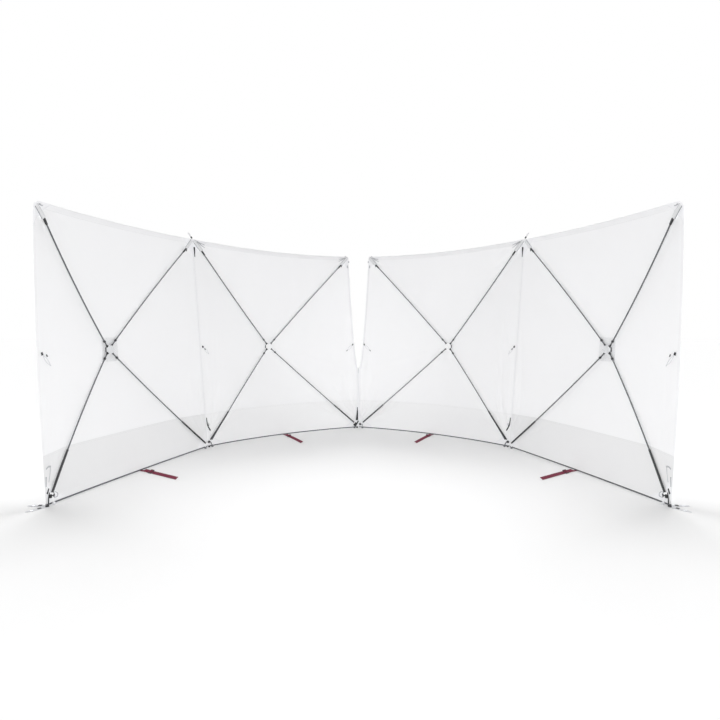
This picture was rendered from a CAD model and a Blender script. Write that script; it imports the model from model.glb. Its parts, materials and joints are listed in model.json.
import json
import math

import bpy
import numpy as np
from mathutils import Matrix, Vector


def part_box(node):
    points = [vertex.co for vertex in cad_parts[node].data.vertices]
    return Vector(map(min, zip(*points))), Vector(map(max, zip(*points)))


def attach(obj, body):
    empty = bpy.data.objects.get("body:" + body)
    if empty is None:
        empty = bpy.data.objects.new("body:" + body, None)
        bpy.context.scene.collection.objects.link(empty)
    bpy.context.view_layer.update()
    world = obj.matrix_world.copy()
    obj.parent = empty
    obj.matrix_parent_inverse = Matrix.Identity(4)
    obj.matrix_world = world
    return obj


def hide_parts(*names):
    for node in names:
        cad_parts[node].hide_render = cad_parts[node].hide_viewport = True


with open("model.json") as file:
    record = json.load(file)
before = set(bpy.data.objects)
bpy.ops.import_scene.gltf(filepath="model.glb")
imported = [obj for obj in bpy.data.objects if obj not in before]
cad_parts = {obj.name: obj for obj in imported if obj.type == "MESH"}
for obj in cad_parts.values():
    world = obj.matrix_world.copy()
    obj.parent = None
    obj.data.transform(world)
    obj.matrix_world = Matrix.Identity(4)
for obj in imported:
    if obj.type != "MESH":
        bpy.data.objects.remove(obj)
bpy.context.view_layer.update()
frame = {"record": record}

# ---- Camera -------------------------------------------------------------------------------
# Stands on the inner side of the screen, in front of the middle seam and a little above half
# the screen's height, and looks slightly down.

scene = bpy.context.scene
scene.view_settings.view_transform = "Standard"
lens = bpy.data.cameras.new("camera")
lens.lens = 26.5
lens.sensor_width = 36.0
lens.shift_x = 0.0021
camera = bpy.data.objects.new("camera", lens)
camera.location = (0.0, -3.8626, 0.904)
camera.rotation_euler = (math.radians(90 - 2.84), 0.0, 0.0)
scene.collection.objects.link(camera)
scene.camera = camera

# ---- Studio -------------------------------------------------------------------------------
# A white sheet of floor that runs out of sight, in an even white room. Two broad lamps high behind
# the screen lay its soft shadow on the floor inside the arc, and two lower ones fill from the front.


class Tap:
    """One output of a finish's nodes. Sums of taps and numbers add Math nodes."""

    def __init__(self, recipe, socket):
        self.recipe, self.socket = recipe, socket

    def calc(self, operation, *others):
        values = dict(enumerate((self, *others)))
        return self.recipe.node("ShaderNodeMath", {"operation": operation}, values)

    def __add__(self, other):
        return self.calc("ADD", other)

    def __sub__(self, other):
        return self.calc("SUBTRACT", other)

    def __rsub__(self, other):
        return self.calc("MULTIPLY_ADD", -1.0, other)

    def __mul__(self, other):
        return self.calc("MULTIPLY", other)

    def __truediv__(self, other):
        return self.calc("DIVIDE", other)

    def __lt__(self, other):
        return self.calc("LESS_THAN", other)

    def __gt__(self, other):
        return self.calc("GREATER_THAN", other)

    __radd__ = __add__
    __rmul__ = __mul__


class Recipe:
    """The nodes of one finish, or of the room's light."""

    def __init__(self, tree):
        self.tree = tree
        tree.nodes.clear()

    def node(self, kind, settings=None, sockets=None, out=0):
        made = self.tree.nodes.new(kind)
        for key, value in (settings or {}).items():
            if key == "stops":
                stops = made.color_ramp.elements
                while len(stops) < len(value):
                    stops.new(1.0)
                for stop, (place, level) in zip(stops, value):
                    stop.position = place
                    stop.color = (level, level, level, 1.0)
            else:
                setattr(made, key, value)
        for key, value in (sockets or {}).items():
            if isinstance(value, Tap):
                self.tree.links.new(value.socket, made.inputs[key])
            else:
                made.inputs[key].default_value = value
        return Tap(self, made.outputs[out]) if made.outputs else None

    def blend(self, share, first, second):
        """Colour between two colours."""
        sockets = {0: share, 6: first, 7: second}
        return self.node("ShaderNodeMix", {"data_type": "RGBA"}, sockets, out=2)

    def noise(self, spots, scale, detail=2.0):
        sockets = {"Vector": spots, "Scale": scale, "Detail": detail}
        return self.node("ShaderNodeTexNoise", {}, sockets)

    def bump(self, strength, depth, height):
        sockets = {"Strength": strength, "Distance": depth, "Height": height}
        return self.node("ShaderNodeBump", {}, sockets)

    def flat_places(self):
        """Place on the flat cloth: as a whole, along it and across it."""
        place = self.node("ShaderNodeUVMap", {"uv_map": "cut"})
        along = self.node("ShaderNodeSeparateXYZ", {}, {0: place})
        return place, along, Tap(self, along.socket.node.outputs[1])

    def coat(self, sockets, see_through=0.0):
        """What the eye meets, with a share of light that comes through from behind."""
        shader = self.node("ShaderNodeBsdfPrincipled", {}, sockets)
        if see_through:
            behind = {"Color": sockets["Base Color"], "Normal": sockets["Normal"]}
            glow = self.node("ShaderNodeBsdfTranslucent", {}, behind)
            shader = self.node("ShaderNodeMixShader", {}, {0: see_through, 1: shader, 2: glow})
        self.node("ShaderNodeOutputMaterial", {}, {"Surface": shader})


def tint(red, green, blue):
    """A colour as a paint chart gives it, from 0 to 255."""
    chart = np.array([red, green, blue]) / 255
    linear = np.where(chart <= 0.04045, chart / 12.92, ((chart + 0.055) / 1.055) ** 2.4)
    return (*linear.tolist(), 1.0)


ROOM_LIGHT = 0.07
# Each broad lamp: where it stands round the screen, its height, strength and spread, in degrees
LAMPS = {
    "left_back_lamp": (-24, 52, 0.53, 45),
    "right_back_lamp": (24, 52, 0.53, 45),
    "left_front_lamp": (-127, 24, 0.35, 24),
    "right_front_lamp": (127, 24, 0.35, 24),
}
FLOOR_REACH, FLOOR_Z = 60.0, -0.0005

room = bpy.data.worlds.new("white_room")
scene.world = room
room.use_nodes = True
light = Recipe(room.node_tree)
ray = light.node("ShaderNodeLightPath")
ways = ray.socket.node.outputs
seen = Tap(light, ways["Is Camera Ray"]) + Tap(light, ways["Is Glossy Ray"])
seen = (seen + Tap(light, ways["Is Transmission Ray"])).calc("MINIMUM", 1.0)
WHITE = (1, 1, 1, 1)
walls = light.node("ShaderNodeBackground", {}, {"Color": WHITE, "Strength": ROOM_LIGHT})
backdrop = light.node("ShaderNodeBackground", {}, {"Color": WHITE, "Strength": 1.0})
shown = light.node("ShaderNodeMixShader", {}, {0: seen, 1: walls, 2: backdrop})
light.node("ShaderNodeOutputWorld", {}, {"Surface": shown})

for name, (bearing, height, strength, spread) in LAMPS.items():
    lamp = bpy.data.lights.new(name, "SUN")
    lamp.energy = math.pi * strength
    lamp.angle = math.radians(spread)
    # The front lamps only fill
    lamp.use_shadow = abs(bearing) < 90
    stand = bpy.data.objects.new(name, lamp)
    stand.rotation_euler = (math.radians(height - 90), 0.0, math.radians(-bearing))
    scene.collection.objects.link(stand)

floor_mesh = bpy.data.meshes.new("studio_floor")
floor_ends = ((-1, -1), (1, -1), (1, 1), (-1, 1))
floor_corners = [(x * FLOOR_REACH, y * FLOOR_REACH, FLOOR_Z) for x, y in floor_ends]
floor_mesh.from_pydata(floor_corners, [], [(0, 1, 2, 3)])
studio_floor = bpy.data.objects.new("studio_floor", floor_mesh)
scene.collection.objects.link(studio_floor)


def finish(name):
    made = bpy.data.materials.new(name)
    made.use_nodes = True
    return made, Recipe(made.node_tree)


floor_paint, recipe = finish("floor_paint")
dust = recipe.node("ShaderNodeTexNoise", {}, {"Scale": 0.6, "Detail": 3.0})
grey = recipe.blend(dust, tint(235, 235, 235), tint(237, 237, 237))
recipe.coat({"Base Color": grey, "Roughness": 0.9, "Specular IOR Level": 0.0})
floor_mesh.materials.append(floor_paint)

# ---- Cloth of the four bays ---------------------------------------------------------------
# Each bay is one sheet of thin white woven polyester, pushed outwards by the hub in its middle
# and drawn tight over the four poles, with soft folds that run out of its corners.

INNER_W, OUTER_W, SCREEN_H = 1.5, 1.52, 1.627
MIDDLE_TURN, OUTER_TURN = 73.0, 37.0
ZIP_GAP, ZIP_CLOSED, ZIP_SET_IN, ZIP_CURVE = 0.19, 0.56, 0.045, 0.6
SEAM_RACK, SEAM_LEAN, SEAM_RISE = 0.09, 0.015, 0.008
END_RACK, END_LEAN, END_DROP, END_BOW = 0.078, 0.058, 0.062, 0.015
HUB_ASIDE, HUB_DROP = 0.055, 0.024
DISH = {True: 0.2, False: 0.23}
FOOT_BOW = {True: 0.1, False: 0.015}
TOP_SAG = {True: 0.024, False: 0.008}
TOP_BOW, POLE_BOW = 0.025, 0.014
PIPING_R = 0.003
HEM_Z, HEM_H = 0.0023, 0.009
CLOTH_Z = HEM_Z + HEM_H + 0.0008
EDGE_CLEAR = PIPING_R + 0.0002
ZIP_CLEAR = 0.0058
HUB_OPENING, TRIM_SHARE = 0.02, 0.035
UP = np.array([0.0, 0.0, 1.0])
zip_low, zip_high = (np.array(corner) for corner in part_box("zip_chain"))
MIDDLE_Y = (zip_low[1] + zip_high[1]) / 2


def hump(t):
    return 4 * t * (1 - t)


def between(first, second, share):
    return first + (second - first) * np.asarray(share)[..., None]


class Bay:
    """The lines of one bay, worked out on the left half and mirrored for the right one."""

    def __init__(self, number):
        self.number, self.body = number, f"bay_{number}"
        self.hand = 1 if number < 3 else -1
        self.inner = number in (2, 3)
        turns = (math.radians(MIDDLE_TURN / 2), math.radians(MIDDLE_TURN / 2) + math.radians(OUTER_TURN))
        inner_along, outer_along = (np.array([-math.cos(t), -math.sin(t), 0.0]) for t in turns)
        inner_out, outer_out = (np.array([-math.sin(t), math.cos(t), 0.0]) for t in turns)
        seam_foot = INNER_W * inner_along
        seam_top = seam_foot + SEAM_RACK * inner_along + SEAM_LEAN * inner_out
        seam_top = seam_top + (SCREEN_H + SEAM_RISE) * UP
        if self.inner:
            self.along, self.out = inner_along, inner_out
            self.near_foot, self.far_foot = np.zeros(3), seam_foot
            self.near_top = np.array([-ZIP_GAP / 2, -ZIP_SET_IN, SCREEN_H])
            self.far_top = seam_top
        else:
            self.along, self.out = outer_along, outer_out
            self.near_foot, self.far_foot = seam_foot, seam_foot + OUTER_W * outer_along
            self.near_top = seam_top
            self.far_top = self.far_foot + END_RACK * outer_along - END_LEAN * outer_out
            self.far_top = self.far_top + (SCREEN_H - END_DROP) * UP
        corners = self.near_foot + self.near_top + self.far_foot + self.far_top
        self.hub = corners / 4 + DISH[self.inner] * self.out
        if self.inner:
            self.hub = self.hub + HUB_ASIDE * self.along - HUB_DROP * UP

    def near(self, z):
        """Near edge at a height: up the zip or the seam."""
        z = np.asarray(z, float)
        if not self.inner:
            line = between(self.near_foot, self.near_top, z / self.near_top[2])
            return line + EDGE_CLEAR * self.along
        t = np.clip(z - ZIP_CLOSED, 0, None) / (SCREEN_H - ZIP_CLOSED)
        line = np.stack([self.near_top[0] * t**ZIP_CURVE, self.near_top[1] * t, z], -1)
        return line + ZIP_CLEAR * self.along

    def far(self, z):
        """Far edge at a height: up the seam or the free side."""
        z = np.asarray(z, float)
        share = z / self.far_top[2]
        bow = 0.0 if self.inner else END_BOW
        off = (bow * hump(share) - EDGE_CLEAR)[..., None] * self.along
        return between(self.far_foot, self.far_top, share) + off

    def foot(self, s, z=CLOTH_Z):
        """Foot line at a share of the way from the near edge to the far one."""
        s = np.asarray(s, float)
        line = between(self.near(z), self.far(z), s)
        return line + FOOT_BOW[self.inner] * hump(s)[..., None] * self.out

    def top(self, s):
        """Top line at a share of the way from the near edge to the far one."""
        s = np.asarray(s, float)
        line = between(self.near(self.near_top[2]), self.far(self.far_top[2]), s)
        return line + hump(s)[..., None] * (TOP_BOW * self.out - TOP_SAG[self.inner] * UP)

    def rim(self, u, sharp=False):
        """Outline of the cloth: along the foot, up the far side, back along the top and down."""
        u = np.asarray(u, float)
        if not self.inner and not sharp:
            # The upper free corner is cut round
            t = np.clip((u - 2 + TRIM_SHARE) / (2 * TRIM_SHARE), 0, 1)[..., None]
            start, stop = (self.rim(2 + end * TRIM_SHARE, True) for end in (-1, 1))
            arc = t * t * stop + (1 - t) ** 2 * start + 2 * t * (1 - t) * self.rim(2.0, True)
            return np.where(abs(u - 2)[..., None] < TRIM_SHARE, arc, self.rim(u, True))
        side, s = np.floor(u).clip(0, 3), u - np.floor(u).clip(0, 3)
        parts = [
            self.foot(s),
            self.far(CLOTH_Z + (self.far_top[2] - CLOTH_Z) * s),
            self.top(1 - s),
            self.near(CLOTH_Z + (self.near_top[2] - CLOTH_Z) * (1 - s)),
        ]
        picked = parts[0]
        for number in (1, 2, 3):
            picked = np.where((side == number)[..., None], parts[number], picked)
        return picked

    def flat(self, points):
        """Places on the bay as its cutter sees it: along the bay, and up."""
        return (points - self.near_foot) @ self.along, points[..., 2]

    def skin(self, u, r, lift=0.0):
        """Points of the cloth, from the hub at r = 0 to the rim, lifted to the inner side."""
        u, r = np.broadcast_arrays(np.asarray(u, float), np.asarray(r, float))
        points = self.hub + (self.rim(u) - self.hub) * r[..., None]
        points = points + POLE_BOW * hump(r)[..., None] * self.out
        a, z = self.flat(points)
        edge = np.clip((1 - r) / 0.05, 0, 1) * np.clip((r - 0.05) / 0.1, 0, 1)
        relief = folds(self, a, z) * edge * edge * (3 - 2 * edge)
        return points + (relief - lift)[..., None] * self.out

    def beside(self, side, z, inset, lift):
        """Place on the cloth at a height, some way in from its near or far edge."""
        z, inset = np.broadcast_arrays(np.asarray(z, float), np.asarray(inset, float))
        near = side == "near"
        top = self.near_top[2] if near else self.far_top[2]
        r = 1 - inset / (INNER_W / 2)
        share = ((z - self.hub[2] * (1 - r)) / r - CLOTH_Z) / (top - CLOTH_Z)
        u = 4 - share if near else 1 + share
        # Below the pole, the place is on the gore over the foot
        low = np.maximum(self.hub[2] - z, 0.01) / (self.hub[2] - CLOTH_Z)
        edge = self.flat(self.near(z) if near else self.far(z))[0]
        middle, end = self.flat(self.hub)[0], self.flat(self.far_foot)[0]
        foot = (middle + (edge + inset * (1 if near else -1) - middle) / low) / end
        u = np.where(share < 0, foot.clip(0, 0.9999), u)
        return self.skin(u, np.where(share < 0, low, r), np.asarray(lift))

    def place(self, points):
        """From the left half's lines to the screen as it stands."""
        return np.asarray(points) * [self.hand, 1, 1] + [0, MIDDLE_Y, 0]


# Folds that run from a corner: its place along and up, then direction and length, half the width
# in degrees, and height in millimetres
INNER_FOLDS = [
    (0.0, 0.03, 84, 0.75, 2.2, 1.6), (0.0, 0.03, 77, 0.55, 2.0, -1.6), (0.0, 0.03, 71, 0.8, 2.4, 1.9),
    (0.0, 0.03, 63, 0.5, 2.0, -1.5), (0.0, 0.03, 57, 0.6, 1.8, 1.4), (0.0, 0.03, 34, 0.5, 1.8, -1.3),
    (0.0, 0.03, 26, 0.6, 1.6, 1.9), (0.0, 0.03, 15, 0.35, 2.2, -1.0),
    (1.5, 0.03, 142, 0.45, 2.0, 1.3), (1.5, 0.03, 152, 0.55, 2.2, -1.4), (1.5, 0.03, 118, 0.6, 2.4, 1.4),
    (1.5, 0.03, 106, 0.8, 2.0, -1.6), (1.5, 0.03, 98, 0.6, 1.8, 1.3),
    (1.59, 1.63, 218, 0.5, 1.5, 1.4), (1.59, 1.63, 212, 0.4, 1.6, -1.2), (1.59, 1.63, 200, 0.3, 2.5, 1.2),
    (1.59, 1.63, 236, 0.5, 2.0, -1.0), (0.1, 1.6, -5, 0.34, 3.0, 1.2), (0.1, 1.6, -13, 0.3, 2.5, -1.2),
    (0.1, 1.6, -22, 0.36, 2.5, 1.0), (0.1, 1.6, -62, 0.3, 3.0, 0.9),
]
OUTER_FOLDS = [
    (0.0, 0.03, 82, 0.7, 2.4, 1.5), (0.0, 0.03, 73, 0.55, 2.0, -1.4), (0.0, 0.03, 62, 0.5, 2.4, 1.0),
    (0.0, 0.03, 30, 0.5, 2.0, 1.0), (0.0, 1.62, -22, 0.35, 2.5, 1.2), (0.0, 1.62, -33, 0.4, 2.0, -1.0),
    (1.5, 0.03, 122, 0.45, 2.2, 1.0), (1.5, 0.03, 104, 0.6, 2.4, -1.2), (1.54, 1.57, 200, 0.3, 3.0, 1.2),
    (1.54, 1.57, 214, 0.36, 2.2, -1.0), (1.54, 1.57, 250, 0.5, 2.4, 1.2),
]
# Long soft waves of a tight cloth: number a metre along and up, start, height in millimetres
WAVES = [
    (1.1, 0.5, 0.3, 0.9), (-0.7, 1.3, 1.9, 0.8), (1.9, 1.1, 4.0, 0.45), (-2.3, 1.7, 0.7, 0.35),
    (3.1, -2.2, 2.6, 0.2), (0.9, 3.4, 5.1, 0.22), (5.3, 2.9, 1.2, 0.09), (-4.1, 5.9, 3.3, 0.08),
]
# Folds along a seam: distance from it and width in metres, height in millimetres
SEAM_FOLDS = [(0.035, 0.010, 1.5), (0.075, 0.013, -1.4), (0.125, 0.018, 1.1)]


def folds(bay, a, z):
    """Height of the folds in metres, to the outer side."""
    lift = np.zeros_like(a)
    slack = (1.9 if bay.inner else 1.5) + 1.1 * np.clip((0.8 - z) / 0.5, 0, 1)
    for at, up, heading, length, width, height in INNER_FOLDS if bay.inner else OUTER_FOLDS:
        da, dz = a - at, z - up
        reach = np.hypot(da, dz) / length
        turn = np.degrees(np.arctan2(dz, da)) - heading + 2 * np.sin(5 * reach + heading)
        turn = (turn + 180) % 360 - 180
        grow = 1.9 * np.clip(reach, 0, 1) ** 0.6 * (1 - np.clip(reach, 0, 1))
        lift += 0.001 * slack * height * grow * np.exp(-((turn / width) ** 2))
    for across, rise, start, height in WAVES:
        phase = 2 * np.pi * (across * a + rise * z) + start + 2.1 * bay.number
        lift += 0.0015 * height * np.sin(phase)
    # Slack folds hang along a seam in its lower half
    for seam, share in ((0.0, 1.0), (INNER_W, 1.0) if bay.inner else (OUTER_W, 0.4)):
        gap = np.abs(a - seam)
        tall = np.clip((z - 0.15) / 0.25, 0, 1) * np.clip((1.15 - z) / 0.4, 0, 1)
        for step, (offset, width, height) in enumerate(SEAM_FOLDS):
            bend = offset + 0.012 * np.sin(4.3 * z + 1.7 * step + bay.number)
            lift += 0.001 * slack * height * share * tall * np.exp(-(((gap - bend) / width) ** 2))
    return lift


def lattice(rows, cols, ring=False):
    """Numbers of the points of rows and columns, and the faces between them."""
    number = np.arange(rows * cols).reshape(rows, cols)
    wide = np.concatenate([number, number[:, :1]], 1) if ring else number
    faces = np.stack([wide[:-1, :-1], wide[:-1, 1:], wide[1:, 1:], wide[1:, :-1]], -1)
    return number, faces.reshape(-1, 4).tolist()


def new_piece(name, points, faces, cuts, paints, body, replaced=()):
    """Piece of a bay's body; cuts gives its points' places on the flat cloth."""
    mesh = bpy.data.meshes.new(name)
    mesh.from_pydata(points.reshape(-1, 3).tolist(), [], faces)
    places = mesh.uv_layers.new(name="cut")
    corner = np.empty(len(mesh.loops), dtype=np.int32)
    mesh.loops.foreach_get("vertex_index", corner)
    places.data.foreach_set("uv", cuts.reshape(-1, 2)[corner].astype(np.float32).ravel())
    for paint in paints:
        mesh.materials.append(paint)
    mesh.shade_smooth()
    piece = bpy.data.objects.new(name, mesh)
    scene.collection.objects.link(piece)
    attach(piece, body)
    if replaced:
        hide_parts(*replaced)
    return piece


def close_at(steps):
    """Shares from 0 to 1 that stand closer together towards both ends."""
    t = np.linspace(0, 1, steps + 1)
    return t - 0.12 * np.sin(2 * np.pi * t)


# Pitch and depth of a cloth's threads
WEAVE = (0.0016, 0.0002)


def woven(name, colour, other, see_through, weave=WEAVE, marks=None):
    """Plain-woven cloth: two sets of threads at a pitch and depth, slight streaks and a sheen."""
    made, recipe = finish(name)
    pitch, depth = weave
    _, across, upward = recipe.flat_places()
    warp, weft = ((way * (2 * math.pi / pitch)).calc("SINE") for way in (across, upward))
    threads = warp * weft
    spots = recipe.node("ShaderNodeTexCoord", out=3)
    streaks, grain = recipe.noise(spots, 3.0, 6.0), recipe.noise(spots, 420.0)
    share = (streaks * 0.7 + grain * 0.3 + threads * 0.12).calc("MAXIMUM", 0.0)
    base = recipe.blend(share, colour, other)
    height = threads * 0.6 + grain * 0.5
    if marks:
        base, height = marks(recipe, across, upward, base, height)
    bump = recipe.bump(0.35, depth, height)
    sockets = {"Base Color": base, "Roughness": 0.85, "Normal": bump, "Specular IOR Level": 0.25,
               "Sheen Weight": 0.15, "Sheen Roughness": 0.5}
    recipe.coat(sockets, see_through)
    return made


GORE_STEPS, GORE_ROWS = 104, 85
white_cloth = woven("white_polyester", tint(247, 247, 248), tint(251, 251, 252), 0.08)
BAYS = [Bay(number) for number in (1, 2, 3, 4)]
for bay in BAYS:
    u = (np.arange(4)[:, None] + close_at(GORE_STEPS)[None, :-1]).ravel()
    r = HUB_OPENING + (1 - HUB_OPENING) * np.linspace(0, 1, GORE_ROWS)
    points = bay.skin(u[None, :], r[:, None])
    _, faces = lattice(len(r), len(u), ring=True)
    bay.cloth = new_piece(f"{bay.body}_cloth_sheet", bay.place(points), faces,
                          np.stack(bay.flat(points), -1), [white_cloth], bay.body,
                          [f"{bay.body}_cloth"])

# ---- Foot band ----------------------------------------------------------------------------
# A second layer of the same cloth is sewn on the inner side along the foot. Its upper edge is
# turned under and held by a row of stitches.

BAND_H, BAND_LIFT = 0.27, 0.0021
STITCH, STITCHED, THREAD = 0.0042, 0.66, 0.0011


def stitched_edge(rows):
    """Rows of stitches at these distances from a piece's first edge."""

    def marks(recipe, across, upward, base, height):
        dash = (across / STITCH).calc("FRACT") < STITCHED
        for row in rows:
            away = (upward - row).calc("ABSOLUTE")
            thread = (away < THREAD / 2) * dash
            base = recipe.blend(thread * 0.55, base, tint(205, 206, 208))
            height = height - thread * 0.8 - (away < THREAD * 2) * 0.5
        return base, height

    return marks


# The outer bays' bands are of a slightly greyer batch
BAND_SHADES = {True: ("band_polyester", 246), False: ("grey_band_polyester", 237)}
band_cloths = {}
for inner, (name, shade) in BAND_SHADES.items():
    colours = tint(shade, shade, shade + 1), tint(shade + 4, shade + 4, shade + 4)
    band_cloths[inner] = woven(name, *colours, 0.06, marks=stitched_edge([0.004, 0.012]))
for bay in BAYS:
    # Round the rim, from the band's upper end on the near edge to that on the far edge
    near_s, far_s = (
        np.linspace(0, 1, 31) * 0.985 * (BAND_H - CLOTH_Z) / (top[2] - CLOTH_Z)
        for top in (bay.near_top, bay.far_top)
    )
    u = np.concatenate([3 + (1 - near_s[::-1][:-1]), close_at(GORE_STEPS), 1 + far_s[1:]])
    u = np.where(u >= 4, 3.9999999, u)
    rim_z = bay.rim(u)[..., 2]
    first = np.clip((bay.hub[2] - BAND_H) / (bay.hub[2] - rim_z), 0, 0.9995)
    share = np.linspace(0, 1, 29)[:, None]
    r = first[None, :] + (1 - first[None, :]) * share
    points = bay.skin(u[None, :], r, lift=BAND_LIFT)
    a, z = bay.flat(points)
    _, faces = lattice(*r.shape)
    band = new_piece(f"{bay.body}_band_sheet", bay.place(points), faces,
                     np.stack([a, np.maximum(BAND_H - z, 0)], -1), [band_cloths[bay.inner]],
                     bay.body, [f"{bay.body}_band"])

# ---- Turned edges -------------------------------------------------------------------------
# The cloth is turned over to the inner side and sewn down: a wide hem along the free top, and
# narrow ones up the seams and the free edges.

TOP_W, SEAM_W, FREE_W, EDGE_LIFT = 0.035, 0.011, 0.020, 0.0011
edge_cloth = woven("edge_polyester", tint(246, 246, 247), tint(250, 250, 251), 0.05,
                   marks=stitched_edge([0.003, 0.031]))


def lengths(path):
    """How far each point is along a path."""
    steps = np.linalg.norm(np.diff(path, axis=0), axis=1)
    return np.concatenate([[0], np.cumsum(steps)])


for bay in BAYS:
    u = np.concatenate([side + close_at(GORE_STEPS)[:-1] for side in (1, 2, 3)])
    u = u[(u > 1.03) & (u < 3.97)]
    rim = bay.rim(u)
    side = np.floor(u).astype(int)
    spans = {1: bay.far_top - bay.far_foot, 2: bay.far_top - bay.near_top, 3: bay.near_top - bay.near_foot}
    depth = []
    for number, point in zip(side, rim):
        line = spans[number] / np.linalg.norm(spans[number])
        away = bay.hub - point
        depth.append(np.linalg.norm(away - (away @ line) * line))
    width = np.select([side == 2, (side == 1) & (not bay.inner)], [TOP_W, FREE_W], SEAM_W)
    share = np.linspace(0, 1, 6)[:, None]
    r = 1 - width / np.array(depth) * (1 - share)
    points = bay.skin(u[None, :], r, lift=EDGE_LIFT)
    run = lengths(rim)
    _, faces = lattice(*r.shape)
    edge = new_piece(f"{bay.body}_turned_edge", bay.place(points), faces,
                     np.stack([np.broadcast_to(run, r.shape), share * width], -1), [edge_cloth],
                     bay.body)

# ---- Foot hems ----------------------------------------------------------------------------
# A dark tape, folded over the cut edge of the cloth and the band and sewn through, closes each
# bay at the foot. It stands a webbing's thickness above the floor.


def unit(vector):
    vector = np.asarray(vector, float)
    return vector / np.linalg.norm(vector, axis=-1, keepdims=True)


def circle(sides):
    t = 2 * np.pi * np.arange(sides) / sides
    return np.stack([np.cos(t), np.sin(t)], -1)


def oval(width, height, sides=12, square=1.0):
    """Outline of a tape or bar: round where square is 1, and boxier below it."""
    ring = circle(sides)
    return np.sign(ring) * abs(ring) ** square * [width / 2, height / 2]


def arc_path(points, steps):
    """Smooth path through a few points, in even steps."""
    points = np.asarray(points, float)
    knots = lengths(points)
    slopes = np.gradient(points, knots, axis=0)
    at = np.linspace(0, knots[-1], steps)
    k = np.clip(np.searchsorted(knots, at, side="right") - 1, 0, len(knots) - 2)
    span = (knots[k + 1] - knots[k])[:, None]
    t = ((at - knots[k])[:, None]) / span
    return (
        (2 * t**3 - 3 * t**2 + 1) * points[k] + (t**3 - 2 * t**2 + t) * span * slopes[k]
        + (3 * t**2 - 2 * t**3) * points[k + 1] + (t**3 - t**2) * span * slopes[k + 1]
    )


SHARP_ANGLE = 40


class Cut:
    """Gathers the shapes that one piece is made of, on the left half's lines, and makes it."""

    def __init__(self, hand=1):
        self.hand, self.points, self.faces, self.cuts, self.paints = hand, [], [], [], []
        self.count = 0

    def add(self, points, faces, cuts, paint=0):
        points = np.asarray(points, float).reshape(-1, 3)
        self.points.append(points)
        self.cuts.append(np.asarray(cuts, float).reshape(-1, 2))
        self.faces += [[int(corner) + self.count for corner in face] for face in faces]
        self.paints += [paint] * len(faces)
        self.count += len(points)
        return self

    def grid(self, points, cuts, paint=0, ring=False, ends=False):
        number, faces = lattice(*points.shape[:2], ring)
        if ends:
            faces += [number[0, ::-1].tolist(), number[-1].tolist()]
        return self.add(points, faces, cuts, paint)

    def bar(self, path, outline, face, paint=0):
        """Bar of one outline, or of an outline at each step, whose height is towards face."""
        path = np.asarray(path, float)
        run = unit(np.gradient(path, axis=0))
        side = unit(np.cross(run, face))
        rise = np.cross(side, run)
        outline = np.broadcast_to(outline, (len(path), *np.shape(outline)[-2:]))
        points = path[:, None] + outline[..., :1] * side[:, None] + outline[..., 1:] * rise[:, None]
        along = lengths(path)
        around = outline[..., 0] + 0 * along[:, None]
        cuts = np.stack([np.broadcast_to(along[:, None], around.shape), around], -1)
        return self.grid(points, cuts, paint, ring=True, ends=True)

    def block(self, at, lengthwise, face, size, bevel=0.0008, paint=0):
        """Moulded block about a middle point, with its edges taken off."""
        length, width, height = size
        steps = np.array([-length / 2, bevel - length / 2, length / 2 - bevel, length / 2])
        inset = np.array([bevel, 0, 0, bevel])
        outline = np.stack([oval(width - 2 * i, height - 2 * i, 16, 0.3) for i in inset])
        return self.bar(np.asarray(at) + steps[:, None] * unit(lengthwise), outline, face, paint)

    def turned(self, at, axis, profile, sides=28, paint=0):
        """Round piece from a profile of distances along the axis and radii."""
        axis = unit(axis)
        side = unit(np.cross(axis, [0.31, 0.52, 0.79]))
        other = np.cross(axis, side)
        ring = circle(sides) @ [side, other]
        profile = np.asarray(profile, float)
        points = np.asarray(at) + profile[:, :1, None] * axis + profile[:, 1:, None] * ring[None]
        around = 2 * np.pi * np.arange(sides) / sides * 0.01
        cuts = np.stack(np.broadcast_arrays(profile[:, :1], around[None]), -1)
        return self.grid(points, cuts, paint, ring=True, ends=True)

    def make(self, name, paints, body, *replaced, slot=None):
        faces = [face[::-1] for face in self.faces] if self.hand < 0 else self.faces
        points = np.concatenate(self.points) * [self.hand, 1, 1] + [0, MIDDLE_Y, 0]
        cuts = np.concatenate(self.cuts)
        piece = new_piece(name, points, faces, cuts, paints, body, replaced)
        piece.data.polygons.foreach_set("material_index", self.paints)
        piece.data.set_sharp_from_angle(angle=math.radians(SHARP_ANGLE))
        return piece


def webbing(name, colour, other, rib=0.0022, edge=None):
    """Close-woven tape with ribs across it, and a stitched line along it where edge is given."""
    made, recipe = finish(name)
    place, along, across = recipe.flat_places()
    grain, wear = recipe.noise(place, 900.0), recipe.noise(place, 30.0, 4.0)
    ribs, cords = ((way * (2 * math.pi / rib)).calc("SINE") for way in (along, across))
    height = ribs * 0.5 + cords * 0.3 + grain * 0.4
    base = recipe.blend(grain * 0.5 + wear * 0.5, colour, other)
    if edge:
        away = (across.calc("ABSOLUTE") - edge).calc("ABSOLUTE")
        thread = (away < 0.0005) * ((along / STITCH).calc("FRACT") < STITCHED)
        base = recipe.blend(thread * 0.6, base, tint(196, 197, 200))
        height = height + thread * 0.8
    bump = recipe.bump(0.5, 0.0003, height)
    recipe.coat({"Base Color": base, "Roughness": 0.7, "Normal": bump, "Specular IOR Level": 0.3})
    return made


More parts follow.
